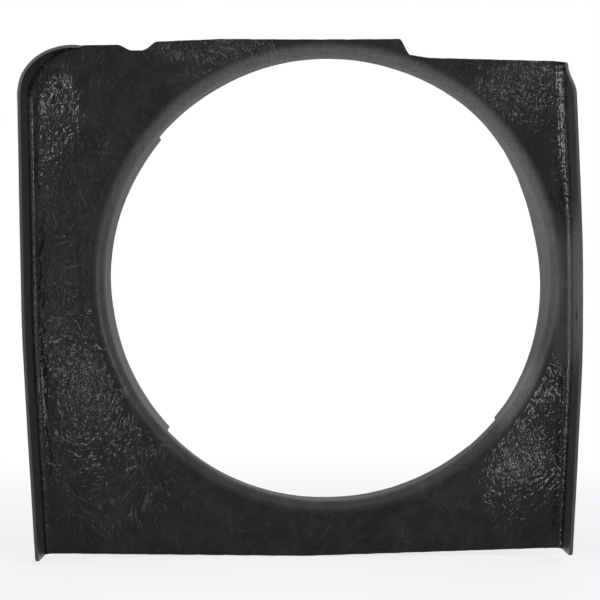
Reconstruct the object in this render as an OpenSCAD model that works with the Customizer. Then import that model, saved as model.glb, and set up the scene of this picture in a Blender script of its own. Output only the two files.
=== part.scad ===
// Radiator fan shroud: one thin moulded shell.
// A flat panel fits against the radiator, with a round fan opening set off to the right.
// The opening's edge rolls back in a bell-mouth into a fan ring, whose rim is cut to four depths.
// A flange comes forward along each side, to reach round the radiator core.
//
// Drawn lying on its back: x to the right, y up the panel, z towards the radiator.
// The origin is on the fan axis, where the bell-mouth ends and the straight ring starts.
// The last line stands it up, so that the radiator is towards -Y and the fan towards +Y.

/* [Shell] */
// thickness of the moulded wall
wall = 3; // [2:0.1:5]
// inner radius of the straight fan ring
ring_r = 220; // [160:1:290]
// radius of the bell-mouth, on the side that the air sees
mouth_r = 12; // [8:0.5:20]
// inner radius of the bend between the panel and a flange
bend_r = 5; // [3:0.5:10]

/* [Ring rim] */
// depth of the ring along its top and bottom
ring_short = 27; // [15:1:45]
// depth of the ring along its left side
ring_left = 55; // [35:1:75]
// depth of the ring at the deepest place of its right side
ring_right = 79; // [55:1:100]
// depth of the right side of the rim at its lower end
ring_right_low = 38; // [28:1:50]
// angle round the ring where the left lip starts, counted from the right over the top
left_lip_from = 140; // [120:1:160]
// angle where the left lip ends
left_lip_to = 223.5; // [200:0.5:240]
// angle below the right side where the right lip starts
right_lip_below = 40; // [25:1:55]
// height above the fan axis of the upper end of the deepest stretch of the right lip
lobe_high = 55; // [30:1:80]
// height of the lower end of that deepest stretch
lobe_low = 20; // [-20:1:28]
// height where the ramp of the right lip meets the short rim
lobe_end = 152; // [100:1:180]

/* [Panel] */
// flat strip between the bell-mouth and the right bend at its narrowest
right_strip = 2; // [0.5:0.5:60]
// flat strip between the bell-mouth and the left bend, level with the left kink
left_strip = 50.5; // [10:0.5:100]
// panel left above the bell-mouth at the top
top_strip = 2.5; // [1:0.5:40]
// how far the top edge drops at its left end
top_left_drop = 6.5; // [2:0.5:12]
// where the top edge reaches its full height, left of the fan axis
top_rise_x = 100; // [60:1:130]
// where the step down at the top right starts, right of the fan axis
step_from = 72; // [50:1:85]
// where that step ends
step_to = 98; // [86:1:120]
// panel left outside the bell-mouth at the foot of the step
step_land = 5; // [2:0.5:20]
// fall of the top edge from the step to the right flange, in degrees
right_fall = 1.5; // [0:0.1:4]
// distance from the fan axis down to the lowest corner of the bottom edge
bottom_y = 273; // [245:1:340]
// place of that corner, left of the fan axis
bottom_kink_x = 21.5; // [0:0.5:80]
// rise of the bottom edge to the left of the corner, in degrees
bottom_left_rise = 0.55; // [0:0.05:4]
// rise of the bottom edge to the right of the corner, in degrees
bottom_right_rise = 1.9; // [0:0.1:4]

/* [Notch in the top edge] */
// middle of the notch, left of the fan axis
notch_x = 189.5; // [150:0.5:205]
// width of the notch along its floor
notch_w = 15; // [5:0.5:18]
// depth of the notch below the left end of the top edge
notch_depth = 5; // [2:0.5:12]
// width of its sloping left end
notch_slope_left = 6; // [1:0.5:8]
// width of its sloping right end
notch_slope_right = 14; // [1:0.5:20]

/* [Flanges] */
// depth of the flanges in front of the panel
flange_depth = 50; // [25:1:80]
// lean of the right flange above its middle stretch, in degrees
right_up_lean = 2.4; // [0:0.1:5]
// lean of the right flange below its middle stretch, in degrees
right_low_lean = 2.7; // [0:0.1:5]
// half of the length of the upright middle stretch of the right flange
right_middle = 35; // [15:1:60]
// lean of the left flange above its kink, in degrees
left_up_lean = 1.45; // [0.5:0.05:4]
// lean of the left flange below its kink, in degrees
left_low_lean = 3.45; // [2:0.05:6]
// height of the kink in the left flange, below the fan axis
left_kink = 60; // [20:1:120]
// outer radius of the corner that the left flange turns at the top
corner_r = 56; // [25:1:75]
// radius that rounds off the front of the right flange at the top
front_round = 48; // [20:1:60]

/* [Part] */
// piece to draw

/* [Hidden] */
moulded_black = [0.07, 0.07, 0.08];
$fn = 128;
// the panel's front face and the front edge of the flanges
panel_z = mouth_r;
front_z = panel_z + flange_depth;
// where the bell-mouth runs out into the panel
mouth_edge = ring_r + mouth_r;
// how far each flange's inner face stands from the fan axis, at the panel's front
right_x = mouth_edge + right_strip + bend_r;
left_x = mouth_edge + left_strip + bend_r;
// long enough to run past the whole part
reach = 2 * (mouth_edge + left_strip);
// the bend's arc runs this far past the panel's face, so that they meet in a clean edge
bite = 0.01;
// the rounding at the top never takes the right flange's last strip
round_r = min(front_round, flange_depth - 1.5);
// heights of the top edge
top_y = mouth_edge + top_strip;
top_left_y = top_y - top_left_drop;
step_y = sqrt(pow(mouth_edge + step_land, 2) - pow(step_to, 2));
right_top_y = step_y - (right_x - step_to) * tan(right_fall);
// angle round the ring, past the right lip's ramp, where the cut for the top rim takes over
top_rim_from = 75;
// inner radius of the left flange's corner, and its middle measured out to the left
corner_in = corner_r - wall;
corner_y = top_left_y - corner_r;
corner_x = left_x + (corner_y + left_kink) * tan(left_up_lean) - corner_in / cos(left_up_lean);
corner_middle = [corner_x, corner_y];

// Section of the hollow beside a flange, with the bend to the panel, moved outwards by o.
// x runs outwards from the flange's inner face. It runs on below the panel's face.
module hollow_section(o) {
    middle = [-bend_r, panel_z + bend_r - bite];
    low = panel_z - o - wall;
    difference() {
        translate([-reach, low]) square([reach + o, 3 * flange_depth]);
        difference() {
            translate([middle.x, low]) square([bend_r + o, middle.y - low]);
            translate(middle) circle(bend_r + o);
        }
    }
}

// All space above the panel's front face, moved outwards by o.
module above_panel(o) {
    translate([-reach, -reach, panel_z - o]) cube([2 * reach, 2 * reach, 2 * flange_depth]);
}

// All space on the hollow side of one straight stretch of flange, which faces along "facing".
// "at" is a place on it, and "out" is how far the flange stands outwards from that place.
module beside(o, at, facing, out) {
    translate([at.x, at.y, 0])
        rotate([0, 0, facing])
            rotate([90, 0, 0])
                linear_extrude(3 * reach, center = true)
                    translate([out, 0]) hollow_section(o);
}

// The hollow of the right half: beside the ring, and above and below it where the flange leans in.
module right_hollow(o) {
    intersection() {
        above_panel(o);
        beside(o, [right_x, 0], 0, 0);
        beside(o, [right_x, right_middle], right_up_lean, 0);
        beside(o, [right_x, -right_middle], -right_low_lean, 0);
    }
}

// The hollow of the left half, drawn as its mirror image: above and below the kink, and the corner.
module left_hollow(o) {
    intersection() {
        above_panel(o);
        union() {
            difference() {
                intersection() {
                    beside(o, corner_middle, -left_up_lean, corner_in);
                    beside(o, [left_x, -left_kink], -left_low_lean, 0);
                }
                corner_block();
            }
            translate([corner_middle.x, corner_middle.y, 0])
                rotate([0, 0, -left_up_lean])
                    rotate_extrude(angle = 95)
                        intersection() {
                            translate([corner_in, 0]) hollow_section(o);
                            translate([0, -reach]) square([corner_r, 2 * reach]);
                        }
        }
    }
}

// The block that the left flange's corner takes the place of, as its mirror image.
module corner_block() {
    translate([corner_middle.x, corner_middle.y, -reach]) {
        rotate([0, 0, -left_up_lean]) cube([reach, reach, 2 * reach]);
        cube([reach, reach, 2 * reach]);
    }
}

// What is cut off the corner's front, from full depth at the side to nothing at the top.
module corner_taper() {
    run = corner_in - 2;
    translate([corner_middle.x, corner_middle.y + 2 * corner_r, panel_z])
        rotate([90, 0, 0])
            linear_extrude(2 * corner_r + bend_r)
                polygon([
                    [0, 0], [2 * run, 2 * flange_depth], [2 * run, 3 * flange_depth],
                    [-run, 3 * flange_depth], [-run, 0]
                ]);
}

// Panel and flange on the right of the fan axis.
module right_half() {
    intersection() {
        difference() {
            right_hollow(wall);
            right_hollow(0);
        }
        translate([0, -reach, 0]) cube([reach, 2 * reach, front_z]);
        outline();
    }
}

// Panel and flange on the left, with the corner that the flange turns at the top.
module left_half() {
    intersection() {
        mirror([1, 0, 0])
            difference() {
                left_hollow(wall);
                left_hollow(0);
                corner_taper();
            }
        translate([-reach, -reach, 0]) cube([reach, 2 * reach, front_z]);
        outline();
    }
}

// The bell-mouth and the ring, all round at its greatest depth.
module throat() {
    rotate_extrude() {
        intersection() {
            difference() {
                translate([mouth_edge, 0]) circle(mouth_r);
                translate([mouth_edge, 0]) circle(mouth_r - wall);
            }
            translate([ring_r, 0]) square([mouth_r, mouth_r]);
        }
        translate([ring_r, -ring_right]) square([wall, ring_right]);
    }
}

// The edge that the panel was cut to, seen from the front.
module outline() {
    far = reach;
    drop = top_left_y - notch_depth;
    notch_left = -notch_x - notch_w / 2;
    notch_right = -notch_x + notch_w / 2;
    translate([0, 0, -reach])
        linear_extrude(2 * reach)
            polygon([
                [-far, top_y],
                [-corner_x, top_y],
                [-corner_x, top_left_y],
                [notch_left - notch_slope_left, top_left_y],
                [notch_left, drop],
                [notch_right, drop],
                [notch_right + notch_slope_right, (top_left_y + top_y) / 2],
                [-top_rise_x, top_y],
                [step_from, top_y],
                [step_to, step_y],
                [far, step_y - (far - step_to) * tan(right_fall)],
                [far, -bottom_y + (far + bottom_kink_x) * tan(bottom_right_rise)],
                [-bottom_kink_x, -bottom_y],
                [-far, -bottom_y + (far - bottom_kink_x) * tan(bottom_left_rise)]
            ]);
}

// What is cut off the front of the right flange at the top.
module right_round() {
    rotate([90, 0, 90])
        linear_extrude(reach)
            translate([right_top_y - round_r, front_z - round_r])
                difference() {
                    square(2 * round_r);
                    circle(round_r);
                }
}

// Everything of the ring that lies deeper than "depth" between two angles.
module rim_cut(from, to, depth) {
    middle = (from + to) / 2;
    translate([0, 0, -reach])
        linear_extrude(reach - depth)
            polygon([
                [0, 0], reach * [cos(from), sin(from)],
                2 * reach * [cos(middle), sin(middle)], reach * [cos(to), sin(to)]
            ]);
}

// The right side of the rim, cut to a lobe that is deepest a little above the fan axis.
module right_rim_cut() {
    low_y = -ring_r * sin(right_lip_below);
    low_slope = (ring_right - ring_right_low) / (lobe_low - low_y);
    past = 60;
    intersection() {
        rim_cut(-right_lip_below, top_rim_from, 1);
        rotate([90, 0, 90])
            linear_extrude(reach)
                polygon([
                    [low_y - past, low_slope * past - ring_right_low],
                    [lobe_low, -ring_right],
                    [lobe_high, -ring_right],
                    [lobe_end, -ring_short],
                    [reach, -ring_short],
                    [reach, -reach],
                    [low_y - past, -reach]
                ]);
    }
}

module fan_shroud() {
    color(moulded_black)
        rotate([90, 0, 0])
            difference() {
                union() {
                    difference() {
                        union() {
                            left_half();
                            right_half();
                        }
                        cylinder(h = front_z, r = mouth_edge);
                    }
                    throat();
                }
                right_round();
                rim_cut(top_rim_from, left_lip_from, ring_short);
                rim_cut(left_lip_from, left_lip_to, ring_left);
                rim_cut(left_lip_to, 360 - right_lip_below, ring_short);
                right_rim_cut();
            }
}

fan_shroud();
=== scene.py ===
import math

import bpy
import numpy as np
from mathutils import Euler, Matrix


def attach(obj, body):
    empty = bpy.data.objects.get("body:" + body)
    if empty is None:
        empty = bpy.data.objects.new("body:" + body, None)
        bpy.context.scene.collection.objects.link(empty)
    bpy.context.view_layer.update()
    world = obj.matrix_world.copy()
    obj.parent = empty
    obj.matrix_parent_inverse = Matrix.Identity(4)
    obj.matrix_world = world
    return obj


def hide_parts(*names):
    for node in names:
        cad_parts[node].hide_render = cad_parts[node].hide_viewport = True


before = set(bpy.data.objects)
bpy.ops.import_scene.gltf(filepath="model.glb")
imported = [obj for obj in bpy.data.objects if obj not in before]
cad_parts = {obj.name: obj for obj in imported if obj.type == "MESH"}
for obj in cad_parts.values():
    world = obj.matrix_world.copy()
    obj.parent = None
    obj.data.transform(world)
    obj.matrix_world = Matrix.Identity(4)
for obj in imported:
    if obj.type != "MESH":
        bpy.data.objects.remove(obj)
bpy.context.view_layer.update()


# The fan shroud closes the space between a radiator and the fan behind it.
# It is one shell of glass-fibre strands in black polyester resin, laid by hand over a mould.
# The flat panel rolls into the fan ring, its sides turn forward as flanges, and the edges are cut by hand.

# Sizes are in millimetres and turned to metres when the mesh is made; angles are in degrees.
wall = 3.0
ring_r = 220.0
mouth_r = 12.0
panel_y = -12.0
small_bend, wide_bend, corner_bend = 5.0, 12.0, 10.0
flange_depth = 50.0
tip_round = 6.0
corner_x, corner_z, corner_r = -240.36, 172.0, 56.0
lobe_start, lobe_end, lip_start, lip_end = -40.0, 44.0, 140.0, 223.5


def ramp(t, width):
    """Zero below t = 0 and t above it, with a rounded kink between them.
    It is half the sum of t and the root of t squared plus the width squared."""
    return 0.5 * (t + np.sqrt(t * t + width * width))


def ease(t):
    """A smooth step from 0 to 1: three t squared minus two t cubed, held at its ends."""
    t = np.clip(t, 0.0, 1.0)
    return t * t * (3.0 - 2.0 * t)


def right_side(z):
    """The right flange's outer face: plumb in the middle, leaning in above and below it."""
    plumb_x, upper_kink, lower_kink, kink_width = 241.9, 35.0, -75.0, 20.0
    lean_up, lean_down = math.tan(math.radians(2.4)), math.tan(math.radians(2.96))
    above, below = ramp(z - upper_kink, kink_width), ramp(lower_kink - z, kink_width)
    return plumb_x - lean_up * above - lean_down * below


def left_side(z):
    """The left flange's outer face: a slight lean outwards to the top, and a stronger one inwards below
    its kink."""
    kink_x, kink_z, kink_width = -291.7, -60.0, 20.0
    below = kink_z - z
    lean_up, lean_down = math.tan(math.radians(1.12)), math.tan(math.radians(3.45))
    return kink_x + lean_up * below + (lean_down - lean_up) * ramp(below, kink_width)


def top_edge(x):
    """The top edge from left to right: a shallow notch beside the corner, a slow rise, a step down and a
    gentle fall. Each smooth step has its own height, start and length."""
    corner_height, first_rise, notch, lift = 228.0, 0.6, 5.5, 8.6
    swell, sag, step, settle = 2.6, 0.5, 15.6, 2.9
    z = corner_height + first_rise * np.clip((x + 240.0) / 33.0, 0.0, 1.0)
    z = z - notch * ease((x + 207.0) / 15.0)
    z = z + lift * ease(np.clip((x + 184.0) / 17.0, 0.0, 1.0) ** 1.3)
    z = z + swell * np.clip((x + 167.0) / 65.0, 0.0, 1.0)
    z = z - sag * np.sin(np.clip((x + 100.0) / 170.0, 0.0, 1.0) * np.pi)
    z = z - step * ease((x - 70.0) / 11.0) - settle * ease((x - 79.0) / 22.0)
    return z - math.tan(math.radians(1.5)) * ramp(x - 98.0, 8.0)


def bottom_edge(x):
    """The bottom edge: a very shallow V, its point a little left of the fan axis."""
    point_x, point_z, point_width = -21.5, -273.0, 6.0
    rise_left, rise_right = math.tan(math.radians(0.55)), math.tan(math.radians(1.9))
    return point_z + rise_left * ramp(point_x - x, point_width) + rise_right * ramp(x - point_x, point_width)


def hand_cut(t, size):
    """A small unevenness along a trimmed edge: three sines of unrelated lengths, never above zero."""
    waves = np.sin(0.21 * t) + 0.7 * np.sin(0.47 * t + 1.3) + 0.5 * np.sin(0.93 * t + 4.1)
    return size * (waves - 2.2) / 4.4


def curl(depth, bend):
    """How far a flange of this depth has turned through its bend, as an angle up to a right angle."""
    return np.arccos(1.0 - np.minimum(depth, bend) / bend)


def tip(height):
    """What a flange loses at its rounded tips, from the distance to its upper or lower end."""
    h = np.clip(tip_round - height, 0.0, tip_round)
    return tip_round - np.sqrt(tip_round**2 - h**2)


def outline():
    """Columns round the panel, anticlockwise from its lower right corner: where the flat ends, which way
    the flange stands out, how deep it is and how round its bend.
    The six rows are x, z, outward x, outward z, depth and bend."""
    close = np.array([0.0, 0.3, 0.9, 2.0, 3.6, 6.0])
    right_foot, right_top, left_foot = 223.3, 211.8, -269.9
    cut, faint_cut = 0.5, 0.4

    shallow, s_start, s_length = 9.5, 206.0, 33.0
    round_width, round_start, round_height = 4.0, 205.5, 6.5
    low = bottom_edge(np.array([right_foot]))[0]
    z = np.concatenate([low + close, np.linspace(low + 10.0, 150.0, 66), np.linspace(154.0, right_top, 26)])
    depth = shallow + (flange_depth - shallow) * ease((s_start - z) / s_length) - tip(z - low)
    depth = depth - 0.4 * tip(z[-1] - z) + hand_cut(z, cut)
    bend = small_bend + (wide_bend - small_bend) * ease((z - 60.0) / 70.0)
    slope = np.gradient(right_side(z), z)
    size = np.sqrt(1.0 + slope**2)
    turned_in = np.clip((z - round_start) / round_height, 0.0, 1.0)
    rounded = round_width * (1.0 - np.sqrt(1.0 - turned_in**2))
    flat_end = right_side(z) - (bend + wall) * np.sin(curl(depth, bend)) - rounded
    right = np.stack([flat_end, z, 1.0 / size, -slope / size, depth, bend])
    # At the upper right corner the flange runs out to almost nothing.
    end_x, end_z, end_depth = 218.55, 212.48, 0.05
    right[:, -1] = [end_x, end_z, 1.0, 0.0, end_depth, small_bend]

    x = np.concatenate([
        np.linspace(end_x - 0.8, 104.0, 24),
        np.linspace(101.0, 68.0, 24),
        np.linspace(62.0, -162.0, 44),
        np.linspace(-164.5, -210.0, 32),
        np.linspace(-214.0, -238.0, 6),
        [-239.9],
    ])
    top = np.stack([x, top_edge(x) + hand_cut(x, faint_cut), 0 * x, 1 + 0 * x, 0 * x, small_bend + 0 * x])

    turn = np.radians(np.linspace(90.0, 181.3, 76))
    run_out = np.clip(flange_depth * 54.5 * -np.cos(turn) / 51.0, 0.2, flange_depth)
    depth = run_out + hand_cut(corner_r * turn, cut) * ease((turn - 1.7) * 4.0)
    way_round = np.clip((turn - turn[0]) / (turn[-1] - turn[0]), 0.0, 1.0)
    bend = small_bend + corner_bend * np.sin(way_round * np.pi) ** 2
    reach = corner_r - (bend + wall) * np.sin(curl(depth, bend))
    across, up = np.cos(turn), np.sin(turn)
    corner = np.stack([corner_x + reach * across, corner_z + reach * up, across, up, depth, bend])

    low = bottom_edge(np.array([left_foot]))[0]
    z = np.concatenate([np.linspace(168.0, low + 10.0, 78), low + close[::-1]])
    depth = flange_depth - tip(z - low) + hand_cut(z + 40.0, cut)
    slope = np.gradient(left_side(z), z)
    size = np.sqrt(1.0 + slope**2)
    flat_end = left_side(z) + small_bend + wall
    left = np.stack([flat_end, z, -1.0 / size, slope / size, depth, small_bend + 0 * z])

    x = np.linspace(-266.0, 220.0, 92)
    z = bottom_edge(x) - hand_cut(x, faint_cut)
    bottom = np.stack([x, z, 0 * x, -1 + 0 * x, 0 * x, small_bend + 0 * x])

    stretches = [right, top, corner, left, bottom]
    return np.concatenate(stretches, axis=1), np.cumsum([s.shape[1] for s in stretches])


def rim_depth(angle):
    """How far the ring runs back at each angle, in degrees from the right, anticlockwise. Between two
    hand-cut steps on the left the rim stands out as a lip, and on the right as a lobe; elsewhere it is short.
    Each stretch runs straight from one given depth to the next, for smooth_round() to round."""
    short_at = [-45, 44, 52, 75, 95, 120, 139, 225, 236, 250, 272, 294, 319]
    short = np.interp(angle, short_at, [25, 23, 20, 26, 26, 30, 28, 15, 11, 18, 31, 31, 25])
    lip_at = [140, 146, 165, 180, 189, 205, 223]
    left_lip = np.interp(angle, lip_at, [53, 55, 51, 52, 57, 54, 52])
    lobe_at = [-40, -33, -21, -12, 0, 10, 14, 24, 30, 36, 44]
    lobe = np.interp(angle, lobe_at, [40, 39, 50, 60, 71, 78, 78, 64, 50, 37, 24])
    depth = np.where((angle > lip_start) & (angle < lip_end), left_lip, short)
    return np.where((angle > lobe_start) & (angle < lobe_end), lobe, depth)


def smooth_round(values, angle, width):
    """A running mean over an angle each way, taken only over columns on the same side of every step."""
    piece = (angle > lobe_start).astype(int) + (angle > lip_start) + (angle > lip_end)
    near = (np.abs(angle[:, None] - angle[None, :]) < width) & (piece[:, None] == piece[None, :])
    return (near * values[None, :]).sum(axis=1) / near.sum(axis=1)


def laminate_wave(p):
    """The slight waviness of a hand-laid sheet, between nothing and about a third of a millimetre: a middle
    value plus half a sum of six sines of the place."""
    ways = np.array([
        [0.051, 0.02, 0.034],
        [-0.03, 0.05, 0.062],
        [0.083, 0.03, -0.041],
        [-0.057, 0.04, 0.019],
        [0.022, 0.06, -0.093],
        [0.11, 0.05, 0.087],
    ])
    sizes = np.array([0.09, 0.07, 0.05, 0.06, 0.04, 0.025])
    shifts = np.array([0.3, 1.9, 4.2, 2.8, 5.5, 0.9])
    waves = (sizes * np.sin(np.einsum("...i,ji->...j", p, ways) + shifts)).sum(axis=-1)
    return 0.18 + 0.5 * waves


def panel_grid(columns):
    """The ring, bell-mouth and flat panel as one grid: a column for each outline point, rows from the rim.
    The ring is a cylinder, the bell-mouth a quarter circle, and the flat runs straight to the outline."""
    x, z = columns[0], columns[1]
    angle = np.degrees(np.unwrap(np.arctan2(z, x)))
    around = np.radians(angle)
    depth = smooth_round(rim_depth(angle), angle, 2.6) + hand_cut(ring_r * around, 0.9)
    out_x, out_z = np.cos(around), np.sin(around)

    down = np.linspace(1.0, 0.0, 11)[None, :-1]
    roll = np.linspace(0.0, 0.5 * np.pi, 13)[None, :]
    away = (np.linspace(0.0, 1.0, 19)[None, 1:]) ** 1.15
    radius = np.concatenate([ring_r + 0 * down, ring_r + mouth_r * (1.0 - np.cos(roll))], axis=1)
    radius = radius + 0 * x[:, None]
    y = np.concatenate([depth[:, None] * down, -mouth_r * np.sin(roll) + 0 * x[:, None]], axis=1)
    face_in = np.concatenate([1.0 + 0 * down, np.cos(roll)], axis=1) + 0 * x[:, None]
    face_front = np.concatenate([0 * down, np.sin(roll)], axis=1) + 0 * x[:, None]
    tube = np.stack([radius * out_x[:, None], y, radius * out_z[:, None]], axis=-1)
    tube_faces = np.stack([-face_in * out_x[:, None], -face_front, -face_in * out_z[:, None]], axis=-1)

    foot = ring_r + mouth_r
    flat_x = (1.0 - away) * foot * out_x[:, None] + away * x[:, None]
    flat_z = (1.0 - away) * foot * out_z[:, None] + away * z[:, None]
    flat = np.stack([flat_x, panel_y + 0 * flat_x, flat_z], axis=-1)
    flat_faces = np.stack([0 * flat_x, -1.0 + 0 * flat_x, 0 * flat_x], axis=-1)
    return np.concatenate([tube, flat], axis=1), np.concatenate([tube_faces, flat_faces], axis=1)


def flange_grid(columns):
    """A flange as a grid: each column leaves the flat round a quarter circle, then runs straight forward to
    its depth. Rows are equal shares of the column's length, the first of them closer."""
    x, z, out_x, out_z, depth, bend = [row[:, None] for row in columns]
    quarter = 0.5 * np.pi * bend
    length = np.where(depth < bend, bend * curl(depth, bend), quarter + depth - bend)
    share = np.concatenate([np.linspace(0.0, 0.25, 12)[1:], np.linspace(0.25, 1.0, 10)[1:]])[None, :]
    run = share * length
    turned = np.minimum(run, quarter) / bend
    out = bend * np.sin(turned)
    y = panel_y - bend * (1.0 - np.cos(turned)) - np.maximum(run - quarter, 0.0)
    points = np.stack([x + out * out_x, y, z + out * out_z], axis=-1)
    faces = np.stack([-np.sin(turned) * out_x, -np.cos(turned), -np.sin(turned) * out_z], axis=-1)
    return points, faces


def quads(index):
    """The four-sided faces of a grid of point numbers."""
    return np.stack([index[:-1, :-1], index[1:, :-1], index[1:, 1:], index[:-1, 1:]], axis=-1).reshape(-1, 4)


def shell(points, normals, faces):
    """Gives an open sheet its thickness: a copy of every point one wall behind it, and a strip round each
    free edge. The kind of each face is 0 in front, 1 behind and 2 on a cut edge."""
    count = len(points)
    a, b = faces.ravel(), np.roll(faces, -1, axis=1).ravel()
    whole = a.astype(np.int64) * count + b
    free = ~np.isin(whole, b.astype(np.int64) * count + a)
    a, b = a[free], b[free]
    edge = np.stack([b, a, a + count, b + count], axis=1)
    back = faces[:, ::-1] + count
    kind = np.repeat([0.0, 1.0, 2.0], [len(faces), len(back), len(edge)])
    return np.concatenate([points, points - wall * normals]), np.concatenate([faces, back, edge]), kind


columns, ends = outline()
angle = np.degrees(np.unwrap(np.arctan2(columns[1], columns[0])))
beside = np.array([-0.5, -0.16, 0.16, 0.5])
steps = np.array([lobe_start, lip_start, lip_end])[:, None] + beside[None, :]
both = np.sort(np.concatenate([angle, steps.ravel()]))
flange_of = [angle[[0, ends[0] - 1]], angle[[ends[1], ends[3] - 1]]]
columns = np.stack([np.interp(both, angle, row) for row in columns])

points, normals = panel_grid(columns)
index = np.arange(points.shape[0] * points.shape[1]).reshape(points.shape[:2])
around = np.concatenate([index, index[:1]])
all_points, all_normals, all_faces = [points.reshape(-1, 3)], [normals.reshape(-1, 3)], [quads(around)]
total = index.size
for first, last in flange_of:
    part = (both >= first - 1e-6) & (both <= last + 1e-6)
    points, normals = flange_grid(columns[:, part])
    own = total + np.arange(points.shape[0] * points.shape[1]).reshape(points.shape[:2])
    total += own.size
    all_faces.append(quads(np.concatenate([index[part, -1:], own], axis=1)))
    all_points.append(points.reshape(-1, 3))
    all_normals.append(normals.reshape(-1, 3))

points = np.concatenate(all_points)
normals = np.concatenate(all_normals)
faces = np.concatenate(all_faces)
across = points[faces[:, 2]] - points[faces[:, 0]]
along = points[faces[:, 3]] - points[faces[:, 1]]
if (np.cross(across, along) * normals[faces[:, 0]]).sum() < 0:
    faces = faces[:, ::-1]
points = points + laminate_wave(points)[:, None] * normals
points, faces, kind = shell(points, normals, faces)

mesh = bpy.data.meshes.new("shroud_shell")
mesh.from_pydata(0.001 * points, [], faces.tolist())
mesh.polygons.foreach_set("use_smooth", np.ones(len(faces), bool))
mesh.set_sharp_from_angle(angle=math.radians(50.0))
mesh.attributes.new("cut_edge", "FLOAT", "FACE").data.foreach_set("value", (kind == 2.0).astype(float))
mesh.attributes.new("fan_side", "FLOAT", "FACE").data.foreach_set("value", (kind == 1.0).astype(float))
mesh.update()
shroud = bpy.data.objects.new("shroud_shell", mesh)
bpy.context.scene.collection.objects.link(shroud)
edges = shroud.modifiers.new("trimmed edges", "BEVEL")
edges.width = 0.0004
edges.segments = 2
edges.limit_method = "ANGLE"
edges.angle_limit = math.radians(60.0)
edges.use_clamp_overlap = False
edges.harden_normals = True


class Finish:
    """One value in a node tree: the operators add Math nodes, and node() adds any other node."""

    def __init__(self, tree, socket=None):
        self.tree = tree
        self.socket = socket

    def node(self, kind, settings=None, inputs=None, output=0):
        made = self.tree.nodes.new(kind)
        for name, value in (settings or {}).items():
            setattr(made, name, value)
        for name, value in (inputs or {}).items():
            if isinstance(value, Finish):
                self.tree.links.new(value.socket, made.inputs[name])
            else:
                made.inputs[name].default_value = value
        return Finish(self.tree, made.outputs[output] if made.outputs else None)

    def maths(self, operation, *values):
        return self.node("ShaderNodeMath", {"operation": operation}, dict(enumerate(values)))

    def __add__(self, other):
        return self.maths("ADD", self, other)

    def __sub__(self, other):
        return self.maths("SUBTRACT", self, other)

    def __rsub__(self, other):
        return self.maths("SUBTRACT", other, self)

    def __mul__(self, other):
        return self.maths("MULTIPLY", self, other)

    def between(self, low, high):
        """0 below low, 1 above high and a smooth step between them."""
        settings = {"interpolation_type": "SMOOTHSTEP"}
        return self.node("ShaderNodeMapRange", settings, {"Value": self, "From Min": low, "From Max": high})

    __radd__ = __add__
    __rmul__ = __mul__


laminate = bpy.data.materials.new("black glass-fibre laminate")
laminate.use_nodes = True
laminate.node_tree.nodes.clear()
start = Finish(laminate.node_tree)
place = start.node("ShaderNodeTexCoord", output=3)


def noise(scale, detail, roughness):
    """Even noise, with about as many cells in a metre as its scale."""
    inputs = {"Vector": place, "Scale": scale, "Detail": detail, "Roughness": roughness}
    return start.node("ShaderNodeTexNoise", {}, inputs)


def strand_print(cells, across, along, seed):
    """Chopped strands under the resin: in every cell of a scattered net the fine ridges lie another way."""
    offset = (seed, 0.3 * seed, -0.7 * seed)
    shifted = start.node("ShaderNodeVectorMath", {"operation": "ADD"}, {0: place, 1: offset})
    net = start.node("ShaderNodeTexVoronoi", {}, {"Vector": shifted, "Scale": cells}, output=1)
    way = start.node("ShaderNodeVectorMath", {"operation": "SCALE"}, {0: net, 3: 6.283})
    laid = start.node("ShaderNodeVectorRotate", {"rotation_type": "EULER_XYZ"}, {"Vector": shifted, 4: way})
    sizes = (along, along, across)
    drawn = start.node("ShaderNodeVectorMath", {"operation": "MULTIPLY"}, {0: laid, 1: sizes})
    inputs = {"Vector": drawn, "Scale": 1.0, "Detail": 1.5, "Roughness": 0.5}
    return start.node("ShaderNodeTexNoise", {}, inputs)


def patch(centre, halves, core):
    """1 inside a soft-edged ellipsoid round a centre, from its half lengths, and 0 well outside it."""
    inputs = {"Vector": place, "Location": centre, "Scale": halves}
    spread = start.node("ShaderNodeMapping", {"vector_type": "TEXTURE"}, inputs)
    far = start.node("ShaderNodeVectorMath", {"operation": "LENGTH"}, {0: spread}, output=1)
    return 1.0 - far.between(core, 1.35)


def blend(share, under, over):
    """The colour over, laid on the colour under by a share from 0 to 1."""
    return start.node("ShaderNodeMix", {"data_type": "RGBA"}, {0: share, 6: under, 7: over}, output=2)


cut_edge = start.node("ShaderNodeAttribute", {"attribute_name": "cut_edge"}, output=2)
fan_side = start.node("ShaderNodeAttribute", {"attribute_name": "fan_side"}, output=2)
depth_of = start.node("ShaderNodeSeparateXYZ", {}, {0: place}, output=1)
height = start.node("ShaderNodeSeparateXYZ", {}, {0: place}, output=2)
from_axis = start.node("ShaderNodeVectorMath", {"operation": "MULTIPLY"}, {0: place, 1: (1.0, 0.0, 1.0)})
from_axis = start.node("ShaderNodeVectorMath", {"operation": "LENGTH"}, {0: from_axis}, output=1)
in_throat = 1.0 - from_axis.between(0.2190, 0.2335)
forward = 0.001 * panel_y - depth_of
on_flange = forward.between(0.0080, 0.0150)
on_bend = forward.between(0.0001, 0.0012)
off_flat = start.maths("MAXIMUM", in_throat, on_flange)

# The ring's throat is painted a pale grey, partly dust and partly painted light. Its upper part is painted
# lighter still, as painted light, and one streak at the lower right is a painted highlight.
towards = (0.2, 0.0, 1.0)
upward = start.node("ShaderNodeVectorMath", {"operation": "DOT_PRODUCT"}, {0: place, 1: towards}, output=1)
painted_highlight_streak = patch((0.192, -0.004, -0.116), (0.030, 0.040, 0.048), 0.4)
throat_dust_and_light = in_throat * (0.30 + 0.70 * start.maths("MAXIMUM", upward.between(-0.08, 0.20), painted_highlight_streak))
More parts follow.
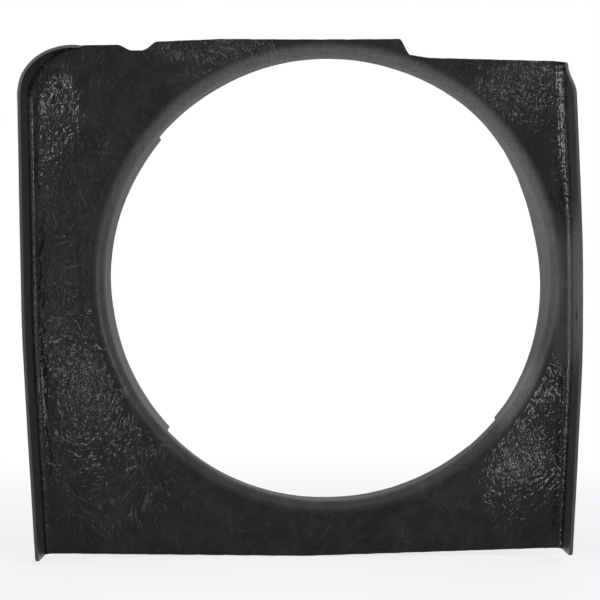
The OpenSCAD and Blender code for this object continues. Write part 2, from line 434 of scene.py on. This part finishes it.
# A pale matt grey patch where the bell-mouth meets the right flange joins the throat's grey.
pale_matt_patch = 0.42 * patch((0.234, -0.020, -0.015), (0.022, 0.080, 0.070), 0.5)
throat_dust_and_light = start.maths("MAXIMUM", throat_dust_and_light, pale_matt_patch)

# Eight places where the strands stand out in relief and are painted lighter as glints: centre x and z, half
# width and half height.
relief_and_glint_places = [
    (-0.272, 0.170, 0.036, 0.060),
    (-0.263, -0.020, 0.022, 0.110),
    (-0.233, -0.105, 0.045, 0.050),
    (-0.205, -0.195, 0.070, 0.060),
    (0.190, -0.195, 0.045, 0.055),
    (0.190, 0.180, 0.055, 0.040),
    (0.231, 0.130, 0.014, 0.080),
    (-0.110, 0.222, 0.080, 0.016),
]
relief_and_glint_near = 0.0
for centre_x, centre_z, half_width, half_height in relief_and_glint_places:
    near = patch((centre_x, -0.012, centre_z), (half_width, 0.1, half_height), 0.3)
    relief_and_glint_near = start.maths("MAXIMUM", relief_and_glint_near, near)
patches = noise(8.0, 2.0, 0.5)
shown = (0.75 * relief_and_glint_near + 0.55 * patches).between(0.36, 0.72)

# The print of the strands, partly painted glints on them, the cloudy resin, the pits in the dull parts and a
# dark mark on the right flange, which is painted shade for a small void there.
bundles = strand_print(60.0, 260.0, 85.0, 1.7)
crossing = strand_print(95.0, 380.0, 130.0, 5.2)
threads = strand_print(45.0, 760.0, 60.0, 8.3).between(0.57, 0.68)
lines = 0.6 * bundles + 0.4 * crossing
ridge = lines.between(0.52, 0.66)
strand_and_glint = ridge * (0.04 + 0.06 * shown) + threads * (0.16 + 0.34 * shown)
cloud = noise(45.0, 4.0, 0.6)
grain = noise(420.0, 2.0, 0.6)
pits = (1.0 - grain).between(0.60, 0.72) * off_flat
void_shade_mark = patch((0.239, -0.042, -0.037), (0.004, 0.0055, 0.0045), 0.8)

deep_resin, thin_resin = (0.003, 0.003, 0.0035, 1.0), (0.011, 0.011, 0.012, 1.0)
strand_and_glint_grey = (0.085, 0.087, 0.098, 1.0)
flange_painted_light_grey = (0.032, 0.032, 0.032, 1.0)
throat_dust_and_light_grey = (0.135, 0.135, 0.132, 1.0)
pit_and_void_shade_black = (0.006, 0.006, 0.006, 1.0)
edge_grey = (0.095, 0.095, 0.093, 1.0)
resin = blend(cloud.between(0.3, 0.7), deep_resin, thin_resin)
# The strands get a lighter bluish grey, partly their own colour and partly painted glint, strongest in the
# eight places.
strands_and_glints_laid = blend(strand_and_glint * 0.7, resin, strand_and_glint_grey)
# Painted light: the flanges are painted a lighter grey, and the throat gets its grey of dust and painted
# light.
lightened_flanges_and_throat = blend(on_flange * 0.8, strands_and_glints_laid, flange_painted_light_grey)
lightened_flanges_and_throat = blend(throat_dust_and_light * (0.1 + 0.9 * grain + 0.5 * cloud), lightened_flanges_and_throat, throat_dust_and_light_grey)
pits_and_void_shade = blend(start.maths("MAXIMUM", pits * 0.7, void_shade_mark), lightened_flanges_and_throat, pit_and_void_shade_black)
# The cut edges have a lighter grey of their own. Towards the top they are lighter still, as a painted
# highlight along the upper rim.
colour = blend(cut_edge * (0.30 + 0.60 * height.between(0.150, 0.200)), pits_and_void_shade, edge_grey)

matt = start.maths("MAXIMUM", in_throat, pale_matt_patch)
roughness = 0.05 + 0.05 * cloud + on_flange * 0.30 + matt * 0.60 + cut_edge * 0.25
raised = lines * (0.28 + 0.42 * shown + 1.2 * on_bend) * (1.0 - 0.5 * off_flat) * (1.0 - 0.6 * fan_side)
raised = raised + 0.25 * cloud - 0.15 * pits
bump = start.node("ShaderNodeBump", {}, {"Height": raised, "Strength": 1.0, "Distance": 0.0008})
surface = start.node("ShaderNodeBsdfPrincipled", {}, {
    "Base Color": colour,
    "Roughness": roughness,
    "Normal": bump,
    "IOR": 1.27,
    "Metallic": 0.0,
})
start.node("ShaderNodeOutputMaterial", {}, {"Surface": surface})
mesh.materials.append(laminate)
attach(shroud, "root")
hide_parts("fan_shroud")


# The studio: a white floor that keeps the shadow, and white all round for the camera and the reflections.
# Soft boxes light the shell from the sides, above and behind, and small windows glint in its gloss.
# The camera stands square to the panel on the radiator side, level with its middle.
def seen_directly(finish):
    """1 for what the camera sees at first hand, in a reflection or through glass, and 0 for other light."""
    seen = finish.maths("MAXIMUM", *[finish.node("ShaderNodeLightPath", output=kind) for kind in (0, 3)])
    return finish.maths("MAXIMUM", seen, finish.node("ShaderNodeLightPath", output=6))


floor_z, floor_half = -0.2735, 6.0
corners = [(x, y, floor_z) for x, y in floor_half * np.array([(-1, -1), (1, -1), (1, 1), (-1, 1)])]
floor_sheet = bpy.data.meshes.new("floor")
floor_sheet.from_pydata(corners, [], [(0, 1, 2, 3)])
floor = bpy.data.objects.new("floor", floor_sheet)
bpy.context.scene.collection.objects.link(floor)

paper = bpy.data.materials.new("floor paper")
paper.use_nodes = True
paper.node_tree.nodes.clear()
ground = Finish(paper.node_tree)
spot_on_floor = ground.node("ShaderNodeTexCoord", output=3)
away = ground.node("ShaderNodeVectorMath", {"operation": "LENGTH"}, {0: spot_on_floor}, output=1)
own_light = 0.75 + 0.25 * away.between(0.45, 1.1)
matt_paper = ground.node("ShaderNodeBsdfDiffuse", {}, {"Color": (0.85, 0.85, 0.85, 1.0)})
white = ground.node("ShaderNodeEmission", {}, {"Color": (1.0, 1.0, 1.0, 1.0), "Strength": 1.0})
shares = {0: seen_directly(ground) * own_light, 1: matt_paper, 2: white}
mixed = ground.node("ShaderNodeMixShader", {}, shares)
ground.node("ShaderNodeOutputMaterial", {}, {"Surface": mixed})
floor_sheet.materials.append(paper)

studio = bpy.data.worlds.new("studio")
bpy.context.scene.world = studio
studio.use_nodes = True
studio.node_tree.nodes.clear()
air = Finish(studio.node_tree)
plain = air.node("ShaderNodeBackground", {}, {"Color": (1.0, 1.0, 1.0, 1.0), "Strength": 0.30})
white = air.node("ShaderNodeBackground", {}, {"Color": (1.0, 1.0, 1.0, 1.0), "Strength": 1.0})
mixed = air.node("ShaderNodeMixShader", {}, {0: seen_directly(air), 1: plain, 2: white})
air.node("ShaderNodeOutputWorld", {}, {"Surface": mixed})


def lamp(name, spot, target, size, power, roll=0.0):
    """A soft four-cornered lamp at a spot, turned to a target and rolled by some degrees."""
    made = bpy.data.lights.new(name, "AREA")
    made.shape = "RECTANGLE"
    made.size, made.size_y = size
    made.energy = power
    made.color = (0.93, 0.94, 1.0)
    hung = bpy.data.objects.new(name, made)
    hung.location = spot
    hung.visible_camera = False
    aim = np.array(target, float) - np.array(spot, float)
    tilt, turn = math.atan2(math.hypot(aim[0], aim[1]), -aim[2]), math.atan2(-aim[0], aim[1])
    turned = Euler((tilt, 0.0, turn)).to_matrix() @ Matrix.Rotation(math.radians(roll), 3, "Z")
    hung.rotation_euler = turned.to_euler()
    bpy.context.scene.collection.objects.link(hung)


lamp("upper left window", (-0.60, -1.62, 0.38), (-0.2, 0.0, 0.2), (0.02, 0.15), 0.62, 6.0)
lamp("left strip light", (-0.51, -1.62, 0.10), (-0.2, 0.0, 0.0), (0.02, 0.55), 0.14, 4.0)
lamp("lower left window", (-0.44, -1.62, -0.19), (-0.2, 0.0, -0.1), (0.04, 0.15), 0.30)
lamp("top window", (-0.165, -1.62, 0.456), (-0.1, 0.0, 0.2), (0.10, 0.022), 0.11)
lamp("upper right window", (0.41, -1.62, 0.42), (0.1, 0.0, 0.2), (0.04, 0.07), 0.21)
lamp("lower right window", (0.41, -1.62, -0.19), (0.1, 0.0, -0.2), (0.05, 0.09), 0.30)
lamp("low window", (0.27, -0.62, -0.245), (0.18, 0.0, -0.2), (0.036, 0.026), 0.062)
lamp("left bend light", (-1.55, -1.2, 0.40), (0.23, 0.0, 0.14), (0.3, 0.5), 12.0)
lamp("right bend light", (1.45, -1.2, 0.35), (-0.28, 0.0, 0.15), (0.15, 1.1), 11.0)
lamp("right upper window", (1.1, -1.3, 0.42), (-0.28, 0.0, 0.15), (0.2, 0.25), 4.0)

panel_middle = (-0.03, 0.0, 0.0)
lamp("back soft box", (0.9, 2.4, 1.2), panel_middle, (1.6, 1.2), 20.0)
lamp("overhead soft box", (0.1, -1.3, 2.3), panel_middle, (1.6, 1.0), 12.0)
lamp("left soft box", (-2.4, -0.7, 0.0), panel_middle, (0.5, 1.2), 26.0)
lamp("right soft box", (2.4, -0.7, 0.0), panel_middle, (0.5, 1.2), 7.0)

camera = bpy.data.objects.new("camera", bpy.data.cameras.new("camera"))
camera.location = (-0.0273, -1.612, -0.0219)
camera.rotation_euler = (math.radians(90.0), 0.0, 0.0)
camera.data.sensor_width = 36.0
camera.data.lens = 97.96
bpy.context.scene.collection.objects.link(camera)
bpy.context.scene.camera = camera
bpy.context.scene.view_settings.view_transform = "Standard"
